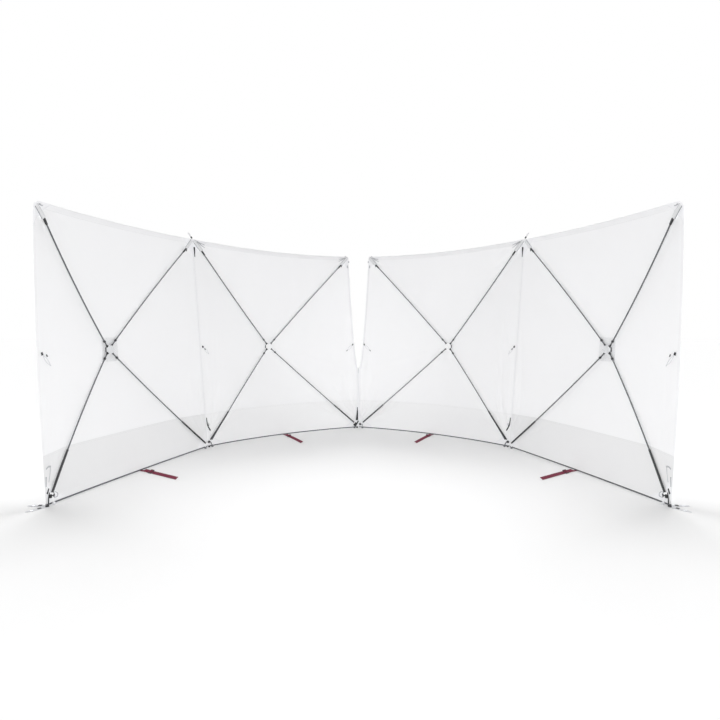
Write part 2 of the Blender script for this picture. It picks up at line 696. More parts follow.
hem_tape = webbing("hem_tape", tint(84, 86, 90), tint(104, 106, 110), rib=0.0016)
HEM_TALL, HEM_THICK = 0.0115, 0.004
for bay in BAYS:
    # An outer bay's hem starts clear of the piping that it turns about
    path = bay.foot(np.linspace(0 if bay.inner else 0.0015, 1, 121), HEM_Z + HEM_TALL / 2)
    hem = Cut(bay.hand).bar(path, oval(HEM_THICK, HEM_TALL, 14, 0.6), UP)
    hem.make(f"{bay.body}_hem_tape", [hem_tape], bay.body, f"{bay.body}_hem", slot="hem")

# ---- Seams between the bays ---------------------------------------------------------------
# A round piping of white cloth over a cord is sewn into each fabric hinge. It runs from the hem to
# the top, along the line that the two bays turn about.

piping = webbing("piping", tint(232, 233, 235), tint(240, 240, 242), rib=0.003)
HALVES = ((1, "left", BAYS[1]), (-1, "right", BAYS[2]))
for hand, side, bay in HALVES:
    z = np.linspace(HEM_Z, bay.far_top[2], 150)
    path = between(bay.far_foot, bay.far_top, z / bay.far_top[2])
    seam = Cut(hand).bar(path, oval(2 * PIPING_R, 2 * PIPING_R, 14), bay.out)
    seam.make(f"{side}_seam_piping", [piping], bay.body, f"{side}_seam", slot="seam")

# ---- Middle zip ---------------------------------------------------------------------------
# A coil zip joins the two halves up to the slider. Above it the slit stands open, with a row of
# teeth on each edge. Each half of the zip is woven into a tape that is sewn to the cloth.

SLIDER_LOW, SLIDER_L, TOOTH_PITCH = 0.543, 0.034, 0.003
TAPE_W = 0.014


def plastic(name, colour, other, rough, grain=0.00012, scale=160.0):
    """Moulded plastic or rubber with a fine grain and slightly uneven colour."""
    made, recipe = finish(name)
    spots = recipe.node("ShaderNodeTexCoord", out=3)
    cloud, fine = recipe.noise(spots, scale, 5.0), recipe.noise(spots, scale * 9)
    base, gloss = recipe.blend(cloud, colour, other), cloud * 0.2 + (rough - 0.1)
    bump = recipe.bump(0.3, grain, fine)
    recipe.coat({"Base Color": base, "Roughness": gloss, "Normal": bump})
    return made


tooth_plastic = plastic("tooth_plastic", tint(232, 233, 235), tint(240, 240, 242), 0.45)
tape_cloth = woven("tape_cloth", tint(240, 240, 242), tint(246, 246, 247), 0.15,
                   (0.0012, 0.00025), stitched_edge([0.0025]))
slider_metal = plastic("slider_paint", tint(214, 215, 217), tint(224, 225, 227), 0.35)


def teeth(cut, path, side, face, size):
    """Row of teeth on a path, standing out to one side."""
    runs = lengths(path)
    at = np.arange(TOOTH_PITCH / 2, runs[-1], TOOTH_PITCH)
    spots = np.stack([np.interp(at, runs, path[:, k]) for k in range(3)], -1)
    length, width, height = size
    x, y, z = unit(side), unit(face), np.cross(unit(side), unit(face))
    # Eight corners a tooth, with its tip narrower than its root
    corners = np.array([
        a * length / 2 * x + b * height / 2 * y + c * width / 2 * z * (0.7 if a > 0 else 1)
        for a in (-1, 1) for b in (-1, 1) for c in (-1, 1)
    ])
    sides = [(0, 1, 3, 2), (4, 6, 7, 5), (0, 4, 5, 1), (2, 3, 7, 6), (0, 2, 6, 4), (1, 5, 7, 3)]
    points = (spots[:, None] + corners[None]).reshape(-1, 3)
    faces = [[8 * k + corner for corner in side] for k in range(len(spots)) for side in sides]
    return cut.add(points, faces, np.zeros((len(points), 2)))


closed = np.stack([np.zeros(2), np.zeros(2), [HEM_Z, SLIDER_LOW - 0.0005]], -1)
chain = Cut().bar(closed, oval(0.0028, 0.0044, 12), BAYS[1].out)
for way, start in ((1, 0), (-1, TOOTH_PITCH / 2)):
    teeth(chain, closed + [-0.0011 * way, 0, start], [way, 0, 0], [0, -1, 0], (0.0034, 0.0019, 0.0054))
chain.make("zip_chain_coil", [tooth_plastic], "bay_2", "zip_chain", slot="zip")

for hand, side, bay in HALVES:
    z = np.linspace(SLIDER_LOW + SLIDER_L, SCREEN_H - 0.004, 180)
    edge = bay.near(z) - 0.0016 * bay.along
    row = teeth(Cut(hand), edge, -bay.along, bay.out, (0.0032, 0.0019, 0.0036))
    row.bar(bay.near(z) - 0.0004 * bay.along, oval(0.0022, 0.003, 8), bay.out)
    row.make(f"{side}_open_teeth", [tooth_plastic], bay.body, slot="zip")

    z = np.linspace(CLOTH_Z + 0.002, SCREEN_H - 0.004, 220)
    u = 4 - (z - CLOTH_Z) / (SCREEN_H - CLOTH_Z)
    lift = 0.0019 + 0.0014 * np.clip((BAND_H + 0.012 - z) / 0.01, 0, 1)
    inner, middle = (
        bay.skin(u, np.full_like(u, share)) - lift[:, None] * bay.out
        for share in (1 - TAPE_W / (INNER_W / 2 + HUB_ASIDE), 0.9985)
    )
    open_up = np.clip((z - SLIDER_LOW) / 0.03, 0, 1)[:, None]
    coil = np.stack([0 * z, 0 * z, z], -1) + 0.0034 * bay.along - 0.0004 * bay.out
    coil = coil * (1 - open_up) + (bay.near(z) - 0.0006 * bay.along - 0.0006 * bay.out) * open_up
    points = np.stack([inner, inner + (middle - inner) / 2, middle, coil])
    steps = np.linalg.norm(np.diff(points, axis=0), axis=2)
    across = np.concatenate([[0 * z], np.cumsum(steps, axis=0)])
    cut = np.stack([np.broadcast_to(z, across.shape), across], -1)
    tape = Cut(hand).grid(points, cut).make(
        f"{side}_zip_tape_sheet", [tape_cloth], bay.body, f"{side}_zip_tape", slot="tape"
    )

# The slider is a painted casting: two shields joined by a wedge, with a flat pull on a bridge.
slider = Cut()
low = np.array([0, 0, SLIDER_LOW])
SHIELD_STEPS = np.array([0.0, 0.004, 0.013, 0.022, 0.030, 0.034])
SHIELD_WIDTHS = [0.0066, 0.0078, 0.0092, 0.0098, 0.0094, 0.0080]
for front in (-1, 1):
    plate = np.stack([oval(width, 0.0014, 12, 0.5) for width in SHIELD_WIDTHS])
    slider.bar(low + [0, front * 0.0040, 0] + SHIELD_STEPS[:, None] * UP, plate, [0, -1, 0])
wedge = np.stack([oval(width, 0.0070, 10) for width in (0.0010, 0.0034, 0.0044)])
slider.bar(low + np.array([[0, 0, 0.019], [0, 0, 0.024], [0, 0, 0.033]]), wedge, [0, -1, 0])
bridge = [[0, -0.0045, 0.0080], [0, -0.0095, 0.0105], [0, -0.0112, 0.0170], [0, -0.0095, 0.0235],
          [0, -0.0045, 0.0260]]
slider.bar(arc_path(low + bridge, 24), oval(0.0032, 0.0016, 10, 0.6), [1, 0, 0])
link = [[0, -0.0112, 0.0175], [0, -0.0150, 0.0180], [0, -0.0158, 0.0170]]
slider.bar(low + link, oval(0.0042, 0.0018, 10), UP)
# The pull's plate and its end, then the two sides and the top of its eye
PULL_W, PULL_Y = 0.006, -0.015
for z, length in ((-0.00125, 0.0275), (-0.0165, 0.004)):
    slider.block(low + [0, PULL_Y, z], UP, [0, -1, 0], (length, PULL_W, 0.002))
for x in (-0.0023, 0.0023):
    slider.block(low + [x, PULL_Y, 0.0155], UP, [0, -1, 0], (0.0075, 0.0014, 0.0018), bevel=0.0004)
slider.block(low + [0, PULL_Y, 0.0196], UP, [0, -1, 0], (0.0018, PULL_W, 0.0018), bevel=0.0004)
slider.make("zip_slider_casting", [slider_metal], "bay_2", "zip_slider", slot="slider")

# ---- Poles --------------------------------------------------------------------------------
# Four sprung fibreglass rods run from each hub to the corners of its bay. Each has a moulded end
# cap at the hub and a black collar a hand's breadth from it.

POLE_D, POLE_INSET, TIP_INSET, FOOT_INSET = 0.008, 0.01194, 0.11, 0.06
CAP_AT, CAP_L, COLLAR_AT, COLLAR_L = 0.026, 0.019, 0.0725, 0.0145
black_plastic = plastic("black_plastic", tint(34, 35, 37), tint(44, 45, 47), 0.42)
fibreglass = plastic("fibreglass", tint(80, 82, 86), tint(104, 106, 110), 0.42, scale=60.0)


def pole_way(bay, corner):
    return unit(bay.rim(float(corner), sharp=True) - bay.hub)


def pole_end(bay, corner):
    """How far from the hub a pole's outer end is."""
    goal = np.linalg.norm(bay.rim(float(corner), sharp=True) - bay.hub)
    return goal - (TIP_INSET if corner > 1 else FOOT_INSET)


def pole_path(bay, corner, at):
    """Middle line of a pole at these distances from the hub."""
    way, at = pole_way(bay, corner), np.asarray(at)[:, None]
    bow = unit(bay.out - (bay.out @ way) * way)
    bend = POLE_BOW * hump(np.clip(at / pole_end(bay, corner), 0, 1))
    return bay.hub - POLE_INSET * bay.out + at * way + bend * bow


def rings(widths):
    """Round outlines for a bar whose width changes along it."""
    return np.stack([oval(width, width, 16) for width in widths])


# The cap and the collar: distances from the hub, and how wide they are there
CAP = (CAP_AT - 0.0004 + CAP_L * np.array([0, 0.06, 0.4, 0.5, 0.6, 0.94, 1]),
       [0.0098, 0.0112, 0.0112, 0.0102, 0.0112, 0.0108, 0.0084])
COLLAR = (COLLAR_AT + COLLAR_L * np.array([0, 0.12, 0.3, 0.38, 0.62, 0.7, 0.88, 1]),
          [0.0115, 0.0152, 0.0156, 0.0134, 0.0134, 0.0156, 0.0152, 0.0115])
for bay in BAYS:
    rods = Cut(bay.hand)
    for corner in range(4):
        at = np.linspace(CAP_AT, pole_end(bay, corner), 70)
        rods.bar(pole_path(bay, corner, at), oval(POLE_D, POLE_D, 16), -bay.out)
        for places, widths in (CAP, COLLAR):
            rods.bar(pole_path(bay, corner, places), rings(widths), -bay.out, paint=1)
    rods = rods.make(f"{bay.body}_rods", [fibreglass, black_plastic], bay.body,
                     f"{bay.body}_poles", slot="poles")

# ---- Hubs ---------------------------------------------------------------------------------
# A nylon core on the inner side holds each pole between two black cheeks on a pin. A post goes
# through the cloth to a domed cap on the outer side. The outer bays' hubs are light grey.

white_plastic = plastic("white_plastic", tint(247, 247, 248), tint(252, 252, 252), 0.4)
grey_plastic = plastic("grey_plastic", tint(222, 223, 225), tint(230, 231, 233), 0.45)
CORE_R, CORE_H, POST_R, CAP_R, CAP_H, PIN_AT = 0.028, 0.022, 0.01, 0.032, 0.008, 0.0315
around = np.linspace(0, 3.9999, 64)
# Profiles of the core, from its foot on the cloth inwards, of the cap and of a pin's head
CORE = [(0, 0.02), (0, 0.0272), (0.001, CORE_R), (0.018, CORE_R), (0.0202, 0.0268), (0.0215, 0.0245),
        (CORE_H, 0.0225), (0.0215, 0.0205), (0.0196, 0.0198), (0.0192, 0.0185), (0.0192, 0.0085),
        (0.0206, 0.0078), (0.0212, 0.006), (0.0212, 0.0005)]
DOME = [(0, 0.004), (0, 0.0305), (0.0012, CAP_R), (0.0032, CAP_R), (0.0052, 0.0305), (0.0066, 0.026),
        (0.0074, 0.019), (0.0072, 0.0145), (0.0062, 0.0138), (0.0062, 0.0102), (0.0074, 0.0094),
        (CAP_H, 0.0005)]
PIN_HEAD = [(0, 0.0036), (0.0016, 0.0036), (0.0024, 0.0026), (0.0025, 0.0003)]
CLOTH_CLEAR = 0.0011
for bay in BAYS:
    hub = Cut(bay.hand)
    under, over = (
        (bay.skin(around, share) - bay.hub) @ bay.out
        for share in (2 * CORE_R / (INNER_W - 2 * HUB_ASIDE), HUB_OPENING)
    )
    core, cap = float(under.min()) - CLOTH_CLEAR, float(over.max()) + CLOTH_CLEAR
    hub.turned(bay.hub + core * bay.out, -bay.out, CORE, 40)
    post = [(-CORE_H / 2, POST_R), (cap - core + CAP_H / 2, POST_R)]
    hub.turned(bay.hub + core * bay.out, bay.out, post, 24)
    hub.turned(bay.hub + cap * bay.out, bay.out, DOME, 40)
    root = bay.hub - POLE_INSET * bay.out
    for corner in range(4):
        way = pole_way(bay, corner)
        across = unit(np.cross(bay.out, way))
        for hand in (-1, 1):
            cheek = root + 0.0292 * way + hand * 0.0051 * across
            hub.block(cheek, way, -bay.out, (0.0120, 0.0026, 0.0115), bevel=0.001, paint=1)
            pin = root + PIN_AT * way + hand * 0.0062 * across
            hub.turned(pin, hand * across, PIN_HEAD, 16, paint=1)
        hub.block(root + 0.0250 * way, way, -bay.out, (0.007, 0.0100, 0.0110), bevel=0.001)
    # A bridge joins the cheeks on the side away from the middle of the screen
    hub.block(root + 0.0285 * bay.along, UP, -bay.out, (0.030, 0.0042, 0.0090), bevel=0.001, paint=1)
    core_plastic = white_plastic if bay.inner else grey_plastic
    hub.make(f"{bay.body}_hub_moulding", [core_plastic, black_plastic], bay.body,
             f"{bay.body}_hub", slot="hub")

# ---- Pole ends ----------------------------------------------------------------------------
# A short black rubber tip closes each upper end. Each lower end has a long black sleeve with a
# white ball, and a grey tab ties the ball down to a round foot beside the hem.

TIP_L, SLEEVE_L = 0.042, 0.275
# How far a sleeve stops short of the pole's end, and how far it bends towards the seam
SLEEVE_STOPS = {(False, 0): (-0.022, 0.0), (False, 1): (0.007, 0.0),
                (True, 0): (0.004, 0.0), (True, 1): (-0.002, 0.013)}
# Steps along a tip and a sleeve, and how wide they are there
TIP_STEPS = np.array([1, 0.94, 0.78, 0.72, 0.66, 0.08, 0])
TIP_WIDTHS = [0.0105, 0.0122, 0.0130, 0.0118, 0.0130, 0.0130, 0.0104]
SLEEVE_STEPS = np.array([0, 0.015, 0.06, 0.075, 0.09, 0.3, 0.6, 0.93, 0.95, 0.98, 1])
SLEEVE_WIDTHS = np.array([9.4, 11.4, 12.0, 10.8, 12.0, 12.2, 12.4, 12.4, 11.0, 12.4, 10.4]) * 0.001
FOOT_PAD = [(0.0, 0.0070), (0.0, 0.0084), (0.0008, 0.0090), (0.0050, 0.0088), (0.0062, 0.0080),
            (0.0074, 0.0088), (0.0104, 0.0084), (0.0118, 0.0070), (0.0118, 0.0003)]
HALF_TURN = np.linspace(0, np.pi, 13)
BALL = np.stack([-0.0088 * np.cos(HALF_TURN), 0.0088 * np.sin(HALF_TURN) + 0.0001], -1)
black_rubber = plastic("black_rubber", tint(40, 41, 43), tint(54, 55, 57), 0.6, grain=0.0003)
grey_rubber = plastic("grey_rubber", tint(92, 94, 98), tint(108, 110, 114), 0.6, grain=0.0003)
grey_tape = webbing("grey_tape", tint(132, 134, 138), tint(158, 160, 163), rib=0.0018)
feet = {mount["name"]: mount["pos_m"] for mount in frame["record"]["mounts"]}
for bay in BAYS:
    ends = Cut(bay.hand)
    for corner in (2, 3):
        path = pole_path(bay, corner, pole_end(bay, corner) - TIP_L * TIP_STEPS)
        ends.bar(path, rings(TIP_WIDTHS), -bay.out)
    # The barb on the tip beside a seam or the zip
    way = pole_way(bay, 3)
    across = unit(np.cross(bay.out, way))
    across = across if across @ UP < 0 else -across
    tip = pole_path(bay, 3, [pole_end(bay, 3)])[0]
    barb = [tip - 0.004 * way, tip - 0.005 * way + 0.010 * across, tip - 0.014 * way + 0.016 * across]
    ends.bar(arc_path(barb, 14), oval(0.006, 0.005, 10, 0.7), -bay.out)
    for corner, name in ((0, "near"), (1, "far")):
        way = pole_way(bay, corner)
        short, bend = SLEEVE_STOPS[bay.inner, corner]
        places = pole_end(bay, corner) - SLEEVE_L + (SLEEVE_L - short) * SLEEVE_STEPS
        path = pole_path(bay, corner, places) + bend * SLEEVE_STEPS[:, None] ** 2 * bay.along
        ends.bar(path, rings(SLEEVE_WIDTHS), -bay.out)
        ball = path[-1] + 0.007 * way
        ends.turned(ball, way, BALL, paint=1)
        x, y, _ = feet[f"{bay.body}_{name}_foot"]
        foot = np.array([bay.hand * x, y - MIDDLE_Y, 0.0])
        ends.turned(foot, UP, FOOT_PAD, paint=4 if bay.inner or not corner else 2)
        tie = arc_path([foot + 0.010 * UP, (foot + ball) / 2 + 0.004 * UP - 0.003 * bay.out, ball], 20)
        ends.bar(tie, oval(0.0016, 0.008, 12, 0.5), bay.along, paint=3 if bay.inner else 1)
    paints = [black_rubber, white_plastic, grey_plastic, grey_tape, grey_rubber]
    ends.make(f"{bay.body}_pole_fittings", paints, bay.body, f"{bay.body}_pole_ends", slot="pole_ends")

# ---- Corner patches and pockets -----------------------------------------------------------
# Each corner of a bay is doubled with a stitched white patch. On the upper ones, a pocket of white
# webbing bound in grey takes the tip of the pole.

CORNER_NAMES = ["near_foot", "far_foot", "far_top", "near_top"]
PATCH_REACH, FOLD_SHARE = 0.13, 0.6
patch_cloth = woven("patch_polyester", tint(240, 240, 242), tint(247, 247, 248), 0.2,
                    (0.0013, 0.0002), stitched_edge([0.004, 0.008]))
fitting_grey = webbing("fitting_grey", tint(178, 179, 182), tint(196, 197, 200), rib=0.0018)
pocket_webbing = webbing("pocket_webbing", tint(226, 227, 229), tint(240, 240, 241), edge=0.0095)
# How far the loose ends reach along the hem, and down the cloth as a share of the way to the hub
LOOSE_ENDS = {True: [(0.075, 0.965), (0.060, 0.940)], False: [(0.050, 0.978)]}
for bay in BAYS:
    spans = [np.linalg.norm(bay.rim(side + 0.9999) - bay.rim(float(side))) for side in range(4)]
    for corner, name in enumerate(CORNER_NAMES):
        upper = corner > 1
        reach = np.linspace(0.006, PATCH_REACH, 14)[:, None]
        share = np.linspace(-1, 1, 25)[None, :]
        step = share * reach / np.where(share < 0, spans[corner - 1], spans[corner])
        length = np.linalg.norm(bay.rim(float(corner)) - bay.hub)
        # The lower ones stop short of the seam that the bays turn about
        r = (1.0 if upper else 0.991) - FOLD_SHARE * (1 - abs(share)) * reach / length
        points = bay.skin((corner + step) % 4, r, lift=0.0024 if upper else 0.0043)
        cut = np.stack([share * reach, (PATCH_REACH - reach) * (0.72 + 0.2 * abs(share))], -1)
        patch = Cut(bay.hand).grid(points, cut).make(
            f"{bay.body}_{name}_patch", [patch_cloth], bay.body, f"{bay.body}_corners", slot="corners"
        )
    pockets = Cut(bay.hand)
    for corner in (2, 3):
        way = pole_way(bay, corner)
        across = unit(np.cross(bay.out, way))
        start = pole_path(bay, corner, [pole_end(bay, corner) + 0.0004])[0]
        stop = bay.skin(float(corner), 1.0) - 0.004 * bay.out - 0.012 * way
        path = arc_path([start, (start + stop) / 2 - 0.001 * bay.out, stop], 20)
        share = np.linspace(0, 1, 20)
        size = [oval(0.024 - 0.005 * k, 0.0105 - 0.0075 * k**0.6, 20, 0.7) for k in share]
        pockets.bar(path, np.stack(size), -bay.out)
        for hand in (-1, 1):
            side = path + hand * (0.012 - 0.0025 * share[:, None]) * across + 0.001 * bay.out
            pockets.bar(side, oval(0.004, 0.0036, 10), -bay.out, paint=1)
        # The webbing's loose ends lie back along the top hem
        loose = LOOSE_ENDS[bay.inner] if bay.inner or corner == 2 else []
        for reach, drop in loose:
            at = np.array([0.022, 0.035, reach - 0.015, reach]) / INNER_W * (1 if corner == 2 else -1)
            tail = bay.skin(corner + at, np.linspace(0.985, drop, 4), 0.0048)
            size = np.stack([oval(width, 0.0016, 12, 0.5) for width in np.linspace(0.009, 0.004, 20)])
            pockets.bar(arc_path(tail, 20), size, -bay.out, paint=2)
    pockets.make(f"{bay.body}_pockets", [pocket_webbing, grey_tape, fitting_grey], bay.body,
                 f"{bay.body}_corners", slot="corners")

# ---- Loose fittings at the corners --------------------------------------------------------
# Short straps, cord ends and adjusters are knotted to the corner patches. They lie on the inner
# side, and those of a seam hang on the inner bay.

fitting_black = webbing("fitting_black", tint(34, 35, 38), tint(50, 51, 54), rib=0.0018)


def strip(cut, bay, side, marks, widths, thick, paint=0, lift=0.007):
    """Tape through marks of height and distance in from a side edge."""
    z, inset = np.array(marks).T
    path = arc_path(bay.beside(side, z, inset, lift), 28)
    outline = np.stack([oval(width, thick, 12, 0.6) for width in np.linspace(*widths, 28)])
    cut.bar(path, outline, -bay.out, paint)


FITTING_PAINTS = [fitting_black, fitting_grey, black_plastic, pocket_webbing]
# Tapes on an inner bay's seam edge: marks, widths, thickness and lift
SEAM_TOP_END = [(1.575, 0.0065), (1.54, 0.006), (1.500, 0.005)], (0.012, 0.005), 0.0022, 0.006
SEAM_FOOT_TAPES = [
    # A curled strap that runs to the sleeve
    ([(0.237, 0.006), (0.205, 0.008), (0.170, 0.015), (0.150, 0.026), (0.130, 0.037)],
     (0.006, 0.010), 0.0022, 0.007),
    ([(0.168, 0.017), (0.176, 0.024), (0.190, 0.026)], (0.005, 0.003), 0.003, 0.007),
    # The cord from the knot at its foot down to the floor
    ([(0.040, 0.020), (0.024, 0.032), (0.008, 0.041)], (0.004, 0.004), 0.003, 0.012),
]
# Tapes at the zip's foot on the left: the spike, and a cord end beside it
ZIP_FOOT_TAPES = [
    ([(0.20, 0.010), (0.14, 0.011), (0.075, 0.015)], (0.005, 0.028), 0.0024, 0.010),
    ([(0.044, 0.018), (0.056, 0.011), (0.068, 0.005)], (0.011, 0.011), 0.006, 0.016),
]
# Tapes of a free corner: marks, widths, thickness, paint and lift
FREE_TAPES = [
    # A loop of grey tape
    ([(0.198, 0.018), (0.204, 0.042), (0.199, 0.062)], (0.007, 0.010), 0.0016, 1, 0.007),
    ([(0.196, 0.058), (0.155, 0.046), (0.122, 0.033)], (0.0035, 0.0035), 0.0016, 1, 0.007),
    ([(0.157, 0.013), (0.130, 0.009), (0.105, 0.006)], (0.007, 0.005), 0.0016, 1, 0.007),
    # The cord down to the tails, and the frame of the clip
    ([(0.089, 0.028), (0.077, 0.020), (0.066, 0.011)], (0.006, 0.009), 0.003, 0, 0.007),
    ([(0.068, 0.027), (0.038, 0.016), (0.013, 0.006)], (0.005, 0.007), 0.003, 0, 0.010),
    ([(0.058, 0.050), (0.057, 0.074), (0.046, 0.080), (0.035, 0.074), (0.034, 0.050)],
     (0.004, 0.004), 0.003, 1, 0.011),
]
# Profiles of the knot and of the small round feet, and the adjusters' distance from the zip and size
KNOT = np.stack([-0.0105 * np.cos(HALF_TURN), 0.0095 * np.sin(HALF_TURN) ** 0.8 + 0.0001], -1)
SEAM_FOOT = [(0.0004, 0.005), (0.0004, 0.006), (0.008, 0.006), (0.009, 0.005), (0.009, 0.0003)]
ZIP_FOOT = [(0.0004, 0.007), (0.0004, 0.009), (0.008, 0.0085), (0.010, 0.007), (0.010, 0.0003)]
ZIP_ADJUSTERS = {1: (0.029, (0.034, 0.030, 0.014)), -1: (0.017, (0.021, 0.019, 0.012))}
for bay in BAYS:
    fittings = Cut(bay.hand)
    if bay.inner:
        # Seam, above: a tapered strap end under the top, and an adjuster and a loose end on it
        marks, widths, thick, lift = SEAM_TOP_END
        strip(fittings, bay, "far", marks, widths, thick, lift=lift)
        way = pole_way(bay, 2)
        top = bay.far_top - 0.004 * bay.out
        fittings.block(top + 0.015 * way, way, -bay.out, (0.017, 0.010, 0.008), bevel=0.002, paint=2)
        end = [top + 0.021 * way, top + 0.040 * way + 0.002 * UP, top + 0.058 * way]
        fittings.bar(arc_path(end, 20), oval(0.011, 0.0015, 12, 0.5), -bay.out, paint=3)
        # Seam, below
        for marks, widths, thick, lift in SEAM_FOOT_TAPES:
            strip(fittings, bay, "far", marks, widths, thick, lift=lift)
        knot = bay.beside("far", 0.044, 0.011, 0.0155)
        fittings.turned(knot, [0.6, 0.1, 0.8], KNOT, 20, paint=2)
        foot = bay.beside("far", 0.0125, 0.009, 0.013) * [1, 1, 0]
        fittings.turned(foot, UP, SEAM_FOOT)
        # Zip, above: knotted ends of the edge tape
        end = bay.near_top + [-0.030, -0.004, 0.003]
        fittings.block(end, [1, 0, 0.3], -bay.out, (0.010, 0.008, 0.006), paint=1)
        end = bay.beside("near", 1.578, -0.003, 0.003)
        fittings.block(end, UP, -bay.out, (0.014, 0.009, 0.006), paint=1)
        strip(fittings, bay, "near", [(1.545, 0.014), (1.520, 0.013)], (0.010, 0.014), 0.0018, paint=1)
        # Zip, below: an adjuster on each side, and a spike, a cord end and a foot on the left
        side, size = ZIP_ADJUSTERS[bay.hand]
        block = bay.beside("near", 0.036, side, 0.014)
        fittings.block(block, [0.5, 0, 0.8], -bay.out, size, bevel=0.002, paint=2)
        if bay.hand > 0:
            for marks, widths, thick, lift in ZIP_FOOT_TAPES:
                strip(fittings, bay, "near", marks, widths, thick, lift=lift)
            foot = bay.beside("near", 0.0125, 0.009, 0.010) * [1, 1, 0]
            fittings.turned(foot, UP, ZIP_FOOT)
    else:
        for marks, widths, thick, paint, lift in FREE_TAPES:
            strip(fittings, bay, "far", marks, widths, thick, paint, lift)
        clip = bay.beside("far", 0.046, 0.040, 0.013)
        fittings.block(clip, [0.2, 0, 1], -bay.out, (0.020, 0.030, 0.008), bevel=0.0015, paint=2)
    fittings.make(f"{bay.body}_corner_straps", FITTING_PAINTS, bay.body, slot="corners")

# ---- Straps on the floor ------------------------------------------------------------------
# A dark red webbing strap is sewn under the middle of each hem and lies inwards on the floor. It is
# stiff, so it leans on one long edge past the black ladder buckle that its doubled end runs through.

STRAP_W, STRAP_T, BUCKLE_AT, BUCKLE_L = 0.025, 0.0014, 0.092, 0.034
STRAP_TURN = {True: 9.7, False: 19.3}
STRAP_TILT = math.radians(28)
STRAP_END = {True: 0.42, False: 0.374}
# Distances from the hem, and heights off the floor in millimetres, of the strap and its doubled end
STRAP_AT = [-0.003, 0.03, 0.06, 0.080, 0.0945, 0.101, 0.108, 0.115, 0.1225, 0.136, 0.17, 0.23, 0.29]
STRAP_RISE = [0.2, 0.2, 0.2, 0.2, 0.6, 3.2, 6.0, 3.2, 0.6, 0.2, 0.2, 0.5, 0.3, 0.8]
TAIL_AT = [0.1075, 0.099, 0.0925, 0.081, 0.066, 0.049, 0.037]
TAIL_RISE = [7.4, 6.0, 3.6, 2.2, 1.8, 1.8, 2.1]
# Half the buckle's inner width, and its bars' places along it and thicknesses
BUCKLE_HALF = 0.0147
LADDER = ((-0.0153, 0.0034), (0.0, 0.0030), (0.0153, 0.0034))
red_webbing = webbing("red_webbing", tint(98, 28, 50), tint(124, 42, 64), rib=0.0024)


def lying(bay, into, at, rise, sideways, steps):
    """Path and face of the leaning strap, from distances from the hem and heights off its back."""
    beside = np.cross(into, UP)
    s, rise = (np.interp(np.linspace(0, 1, steps), np.linspace(0, 1, len(x)), x) for x in (at, rise))
    t = np.clip((s - 0.002) / 0.045, 0, 1)
    lean = STRAP_TILT * t * t * (3 - 2 * t)
    face = np.cos(lean)[:, None] * UP + np.sin(lean)[:, None] * beside
    sway = sideways + 0.0025 * (np.sin(9 * s + bay.number) - math.sin(bay.number))
    sway = sway - 0.004 * np.clip(s / 0.05, 0, 1)
    up = 0.0009 + STRAP_W / 2 * np.sin(lean)
    path = bay.foot(0.5, 0.0) + s[:, None] * into + up[:, None] * UP + sway[:, None] * beside
    return path + 0.001 * rise[:, None] * face, face


for bay in BAYS:
    turn = math.radians(STRAP_TURN[bay.inner])
    into = -math.cos(turn) * bay.out + math.sin(turn) * bay.along
    path, face = lying(bay, into, STRAP_AT + [STRAP_END[bay.inner]], STRAP_RISE, 0.0, 220)
    strap = Cut(bay.hand).bar(path, oval(STRAP_W, STRAP_T, 12, 0.4), face)
    strap.make(f"{bay.body}_strap_webbing", [red_webbing], bay.body, f"{bay.body}_strap", slot="strap")
    path, face = lying(bay, into, TAIL_AT, TAIL_RISE, 0.0008, 60)
    tail_end = Cut(bay.hand).bar(path, oval(STRAP_W, STRAP_T, 12, 0.4), face)
    tail_end.make(f"{bay.body}_strap_tail", [red_webbing], bay.body, slot="strap")
    buckle = Cut(bay.hand)
    path, face = lying(bay, into, [BUCKLE_AT + BUCKLE_L / 2] * 2, [4.0] * 2, 0.0, 2)
    middle, face = path[0], face[0]
    wide = BUCKLE_HALF * np.cross(into, face)
    for hand in (-1, 1):
        buckle.block(middle + hand * wide, into, face, (BUCKLE_L, 0.0036, 0.0052), bevel=0.0012)
    for place, thick in LADDER:
        run = middle + place * into + np.linspace(-1, 1, 9)[:, None] * wide
        buckle.bar(run, oval(thick, 0.0040, 12, 0.7), face)
    for place in (-0.0075, 0.0075):
        run = middle + place * into - 0.0012 * face + np.linspace(-1, 1, 5)[:, None] * wide
        buckle.bar(run, oval(0.0012, 0.0012, 8), face)
    buckle.make(f"{bay.body}_ladder_buckle", [black_plastic], bay.body, f"{bay.body}_strap", slot="strap")

# ---- Toggles at mid height ----------------------------------------------------------------
# Neighbouring screens are coupled by toggles: a small black tab sewn beside the edge, and a slack
# loop of pale cord that hangs from it with a black barrel on it.

TOGGLE_Z = 0.80
tab_webbing = webbing("tab_webbing", tint(40, 41, 44), tint(58, 59, 62))
cord_cloth = webbing("cord_braid", tint(206, 207, 210), tint(222, 223, 226), rib=0.0018)
# The tab's distance in from the edge, and the barrel's and the loop's end beyond and below it
TOGGLES = {"free": (0.041, 0.038, 0.010, 0.078, 0.068), "seam": (0.022, 0.018, 0.018, 0.056, 0.058),
           "zip": (0.014, 0.058, 0.056, 0.052, 0.050)}
